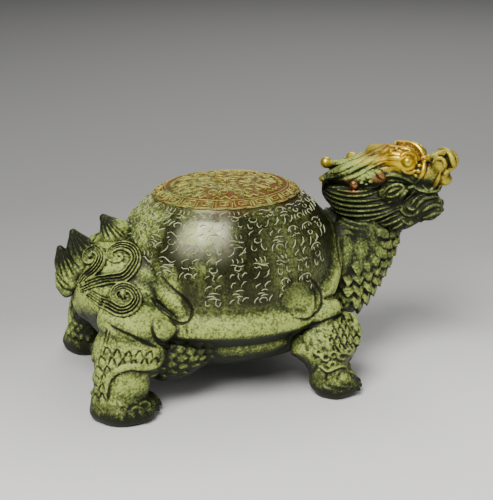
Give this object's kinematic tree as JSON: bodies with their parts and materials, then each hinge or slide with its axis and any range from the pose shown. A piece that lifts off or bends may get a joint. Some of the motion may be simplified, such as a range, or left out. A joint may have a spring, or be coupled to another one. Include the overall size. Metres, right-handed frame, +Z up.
{
  "type": "dragon turtle figure",
  "caption": "Small cast bronze figure of a dragon turtle, with a high domed shell, a turned dragon head and a curled tail, standing on its own feet as a desk or shelf ornament.",
  "frame": {"origin": "on the floor under the middle of the figure's bounding box", "axes": "+X to the front of the body, +Y to the figure's left, +Z up"},
  "size_m": [0.1448, 0.0872, 0.0848],
  "materials": {
    "patinated_bronze": "cast bronze with a powdery pale green patina, dark in the hollows, rubbed brown on the shell and gilt on the head"
  },
  "bodies": {
    "root": {"dragon_turtle": "patinated_bronze"}
  },
  "joints": []
}
